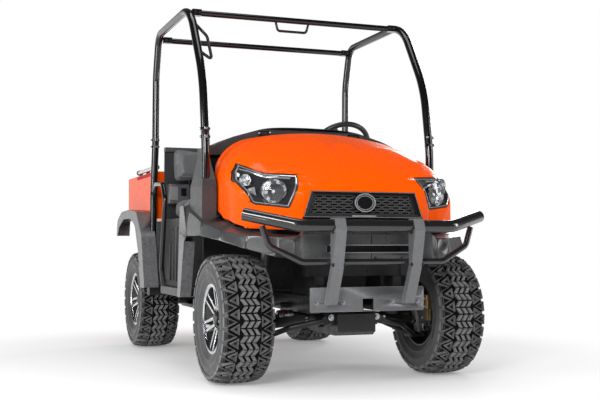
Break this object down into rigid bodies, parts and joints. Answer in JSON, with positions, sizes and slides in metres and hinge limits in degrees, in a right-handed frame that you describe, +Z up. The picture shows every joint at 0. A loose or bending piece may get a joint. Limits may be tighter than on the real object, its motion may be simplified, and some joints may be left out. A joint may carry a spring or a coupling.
{
  "type": "side by side utility vehicle",
  "caption": "Side-by-side utility vehicle with an open roll frame, bench seats, front guard, hood, tipping cargo bed and drop tailgate.",
  "frame": {"origin": "on the ground, under the centre of the bounding box", "axes": "+X to the front of the vehicle, +Y to its left, +Z up"},
  "size_m": [2.7547, 1.39, 1.9],
  "materials": {
    "orange_paint": "gloss",
    "dark_plastic": "textured",
    "black_gloss": "gloss",
    "black_satin": "satin",
    "grey_paint": "satin",
    "seat_vinyl": "matte",
    "tyre_rubber": "matte",
    "alloy": "satin",
    "steel": "satin",
    "casting": "matte",
    "lamp_lens": "gloss",
    "red_lens": "gloss"
  },
  "bodies": {
    "vehicle": {"chassis_frame": "black_satin", "strut_towers": "black_satin", "cowl_hoop": "black_satin", "rear_supports": "black_satin", "front_subframe": "black_satin", "front_lower_arms": "black_satin", "front_fender_left": "dark_plastic", "front_fender_right": "dark_plastic", "front_fascia": "dark_plastic", "cowl": "dark_plastic", "dashboard": "dark_plastic", "firewall": "black_satin", "post_covers": "dark_plastic", "floor_pan": "dark_plastic", "rops_sides": "black_gloss", "rops_cross_tubes": "black_gloss", "grab_handle": "black_satin", "seat_base": "dark_plastic", "seat_cushions": "seat_vinyl", "backrests": "seat_vinyl", "seat_back_panel": "dark_plastic", "hip_guards": "black_gloss", "rear_fender_left": "dark_plastic", "rear_fender_right": "dark_plastic", "engine": "casting", "muffler": "steel", "rear_axle": "black_satin", "rear_suspension": "black_satin", "steering_column": "black_satin", "pedals": "black_satin", "radiator": "black_satin", "front_guard": "black_satin", "guard_mount": "grey_paint", "guard_bars": "grey_paint", "rear_hitch": "black_satin", "tail_lamps": "red_lens"},
    "hood": {"hood": "orange_paint", "grille": "dark_plastic", "headlamp_left": "lamp_lens", "headlamp_right": "lamp_lens"},
    "knuckle_left": {"knuckle_left": "casting"},
    "knuckle_right": {"knuckle_right": "casting"},
    "steering_wheel": {"steering_wheel": "black_satin"},
    "rack": {"tie_rods": "steel"},
    "bed": {"bed_tub": "orange_paint"},
    "tailgate": {"tailgate": "orange_paint"},
    "wheel_front_left": {"tyre_front_left": "tyre_rubber", "rim_front_left": "alloy"},
    "wheel_front_right": {"tyre_front_right": "tyre_rubber", "rim_front_right": "alloy"},
    "wheel_rear_left": {"tyre_rear_left": "tyre_rubber", "rim_rear_left": "alloy"},
    "wheel_rear_right": {"tyre_rear_right": "tyre_rubber", "rim_rear_right": "alloy"}
  },
  "joints": [
    {"name": "hood_hinge", "type": "hinge", "parent": "vehicle", "child": "hood", "pos_m": [0.4985, 0, 1.216], "axis": [0, -1, 0], "range_deg": [0, 50]},
    {"name": "steer_left", "type": "hinge", "parent": "vehicle", "child": "knuckle_left", "pos_m": [0.8725, 0.44, 0.215], "axis": [0, -0.1764, 0.9843], "range_deg": [-30, 30]},
    {"name": "steer_right", "type": "hinge", "parent": "vehicle", "child": "knuckle_right", "pos_m": [0.8725, -0.44, 0.215], "axis": [0, 0.1764, 0.9843], "range_deg": [-30, 30]},
    {"name": "steering_wheel_turn", "type": "hinge", "parent": "vehicle", "child": "steering_wheel", "pos_m": [0.1285, 0.33, 1.205], "axis": [-0.7193, 0, 0.6947], "range_deg": [-540, 540]},
    {"name": "rack_slide", "type": "slide", "parent": "vehicle", "child": "rack", "axis": [0, -1, 0], "range_m": [-0.064, 0.064]},
    {"name": "bed_tilt", "type": "hinge", "parent": "vehicle", "child": "bed", "pos_m": [-1.1275, 0, 0.735], "axis": [0, -1, 0], "range_deg": [0, 40]},
    {"name": "tailgate_hinge", "type": "hinge", "parent": "bed", "child": "tailgate", "pos_m": [-1.3635, 0, 0.802], "axis": [0, -1, 0], "range_deg": [0, 90]},
    {"name": "wheel_front_left_spin", "type": "hinge", "parent": "knuckle_left", "child": "wheel_front_left", "pos_m": [0.8725, 0.535, 0.3], "axis": [0, 1, 0], "continuous": true},
    {"name": "wheel_front_right_spin", "type": "hinge", "parent": "knuckle_right", "child": "wheel_front_right", "pos_m": [0.8725, -0.535, 0.3], "axis": [0, 1, 0], "continuous": true},
    {"name": "wheel_rear_left_spin", "type": "hinge", "parent": "vehicle", "child": "wheel_rear_left", "pos_m": [-0.9275, 0.535, 0.3], "axis": [0, 1, 0], "continuous": true},
    {"name": "wheel_rear_right_spin", "type": "hinge", "parent": "vehicle", "child": "wheel_rear_right", "pos_m": [-0.9275, -0.535, 0.3], "axis": [0, 1, 0], "continuous": true}
  ],
  "couplings": [
    {"joint": "steer_right", "follows": "steer_left", "ratio": 1},
    {"joint": "steering_wheel_turn", "follows": "steer_left", "ratio": 18},
    {"joint": "rack_slide", "follows": "steer_left", "m_per_rad": 0.1195}
  ]
}
